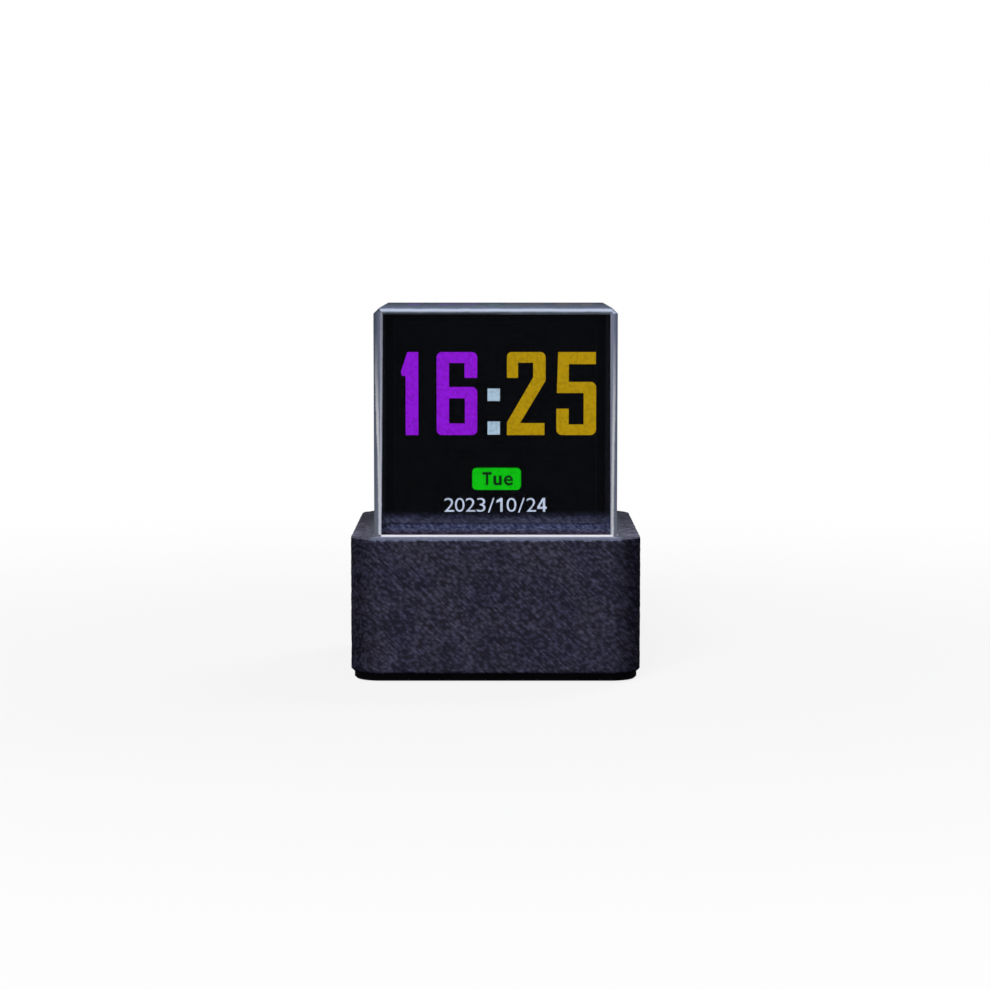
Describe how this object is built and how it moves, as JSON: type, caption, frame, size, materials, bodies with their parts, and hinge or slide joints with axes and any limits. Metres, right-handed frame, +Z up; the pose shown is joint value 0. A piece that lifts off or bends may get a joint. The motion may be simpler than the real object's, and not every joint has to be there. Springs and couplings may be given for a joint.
{
  "type": "weather station clock",
  "caption": "Desktop weather clock: a bevelled glass beam-splitter cube on a small square textured base, showing the time from a flat display inside.",
  "frame": {"origin": "on the table, under the middle of the base", "axes": "+Z up, the picture faces -Y, the power inlet and button face +Y, +X to the right seen from the front"},
  "size_m": [0.0382, 0.0382, 0.049],
  "materials": {
    "shell_plastic": "rough moulded grain, dark charcoal violet",
    "cover_plastic": "plain black moulding",
    "pad_rubber": "soft matt",
    "screw_steel": "zinc plated",
    "prism_glass": "clear optical glass, polished",
    "seal_silicone": "pale translucent silicone",
    "splitter_coating": "half-silvered cement layer",
    "backing_black": "black absorbing film",
    "tape_black": "black adhesive film",
    "polariser_film": "smooth dark film",
    "display_glass": "thin sheet glass",
    "chip_black": "moulded epoxy",
    "frame_white": "white moulding",
    "diffuser_white": "frosted sheet",
    "guide_acrylic": "clear acrylic",
    "lamp_phosphor": "yellow phosphor",
    "reflector_foil": "silvered sheet",
    "flex_film": "amber flexible circuit",
    "board_green": "green solder mask",
    "board_blue": "blue solder mask",
    "can_steel": "tinned sheet",
    "capacitor_ceramic": "tan ceramic",
    "resistor_ceramic": "black glaze on ceramic",
    "inlet_steel": "drawn stainless shell",
    "contact_gold": "gold flash",
    "plunger_plastic": "ivory moulding",
    "button_plastic": "fine matt black"
  },
  "bodies": {
    "clock": {"base_shell": "shell_plastic", "bottom_cover": "cover_plastic", "foot_pad": "pad_rubber", "cover_screws": "screw_steel", "front_prism": "prism_glass", "rear_prism": "prism_glass", "splitter_film": "splitter_coating", "backing_film": "backing_black", "seal_bead": "seal_silicone", "prism_tape": "tape_black", "display_tape": "tape_black", "polariser": "polariser_film", "filter_glass": "display_glass", "array_glass": "display_glass", "driver_chip": "chip_black", "backlight_frame": "frame_white", "diffuser_sheet": "diffuser_white", "light_guide": "guide_acrylic", "backlight_lamps": "lamp_phosphor", "reflector_sheet": "reflector_foil", "display_flex": "flex_film", "main_board": "board_green", "radio_board": "board_blue", "shield_can": "can_steel", "regulator": "chip_black", "chip_capacitors": "capacitor_ceramic", "chip_resistors": "resistor_ceramic", "lamp_transistor": "chip_black", "usb_shell": "inlet_steel", "usb_tongue": "chip_black", "usb_contacts": "contact_gold", "switch_body": "chip_black"},
    "button": {"switch_plunger": "plunger_plastic", "mode_button": "button_plastic"}
  },
  "joints": [
    {"name": "button_press", "type": "slide", "parent": "clock", "child": "button", "axis": [0, -1, 0], "range_m": [0, 0.0004], "stiffness_N_per_m": 2000, "springref_m": -0.0002}
  ]
}
